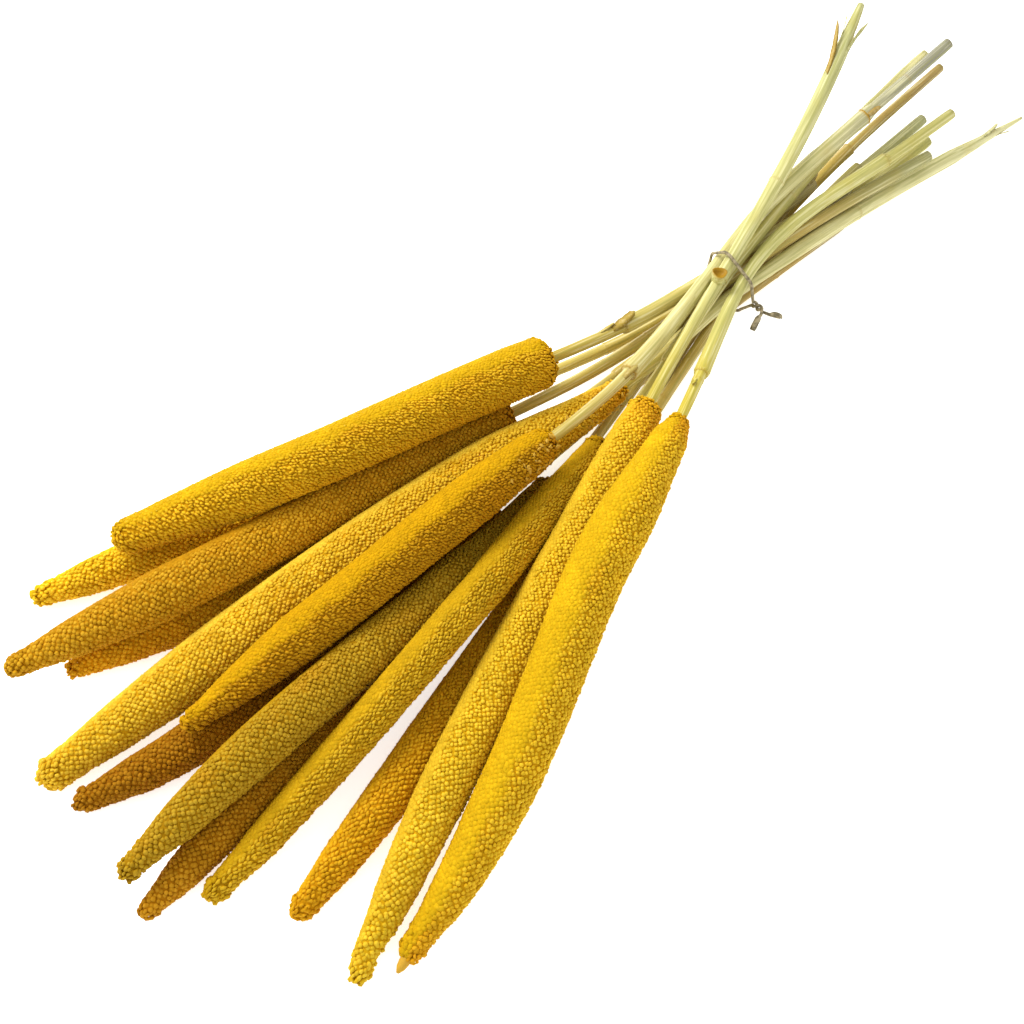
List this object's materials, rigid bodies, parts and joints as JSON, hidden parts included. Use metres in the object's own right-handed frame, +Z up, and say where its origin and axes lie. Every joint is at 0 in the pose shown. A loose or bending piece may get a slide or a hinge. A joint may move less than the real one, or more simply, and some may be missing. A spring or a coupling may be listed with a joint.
{
  "type": "tied bunch of dried pearl millet heads",
  "caption": "Tied bunch of dried pearl millet heads: long grain-covered golden heads on pale cut stems that cross at one thin twist tie, lying flat.",
  "frame": {"origin": "middle of the bunch's bounding box, on the surface that it lies on", "axes": "+Z up; +X along the bunch from the head tips to the cut stem ends; +Y to the left across it"},
  "size_m": [0.6166, 0.2524, 0.0694],
  "materials": {
    "grain_ochre": "matte, dyed ochre grains",
    "grain_bright": "matte, dyed bright yellow grains",
    "grain_orange": "matte, dyed orange-brown grains",
    "grain_gold": "matte, dyed golden grains",
    "stem": "satin, pale straw",
    "tie_paper": "matte, grey-brown paper over wire"
  },
  "bodies": {
    "root": {"head_01": "grain_ochre", "stem_01": "stem", "head_02": "grain_orange", "stem_02": "stem", "head_03": "grain_ochre", "stem_03": "stem", "head_04": "grain_orange", "stem_04": "stem", "head_05": "grain_bright", "stem_05": "stem", "head_06": "grain_gold", "stem_06": "stem", "head_07": "grain_orange", "stem_07": "stem", "head_08": "grain_ochre", "stem_08": "stem", "head_09": "grain_orange", "stem_09": "stem", "head_10": "grain_gold", "stem_10": "stem", "head_11": "grain_orange", "stem_11": "stem", "head_12": "grain_bright", "stem_12": "stem", "head_13": "grain_bright", "stem_13": "stem", "tie": "tie_paper"}
  },
  "joints": []
}
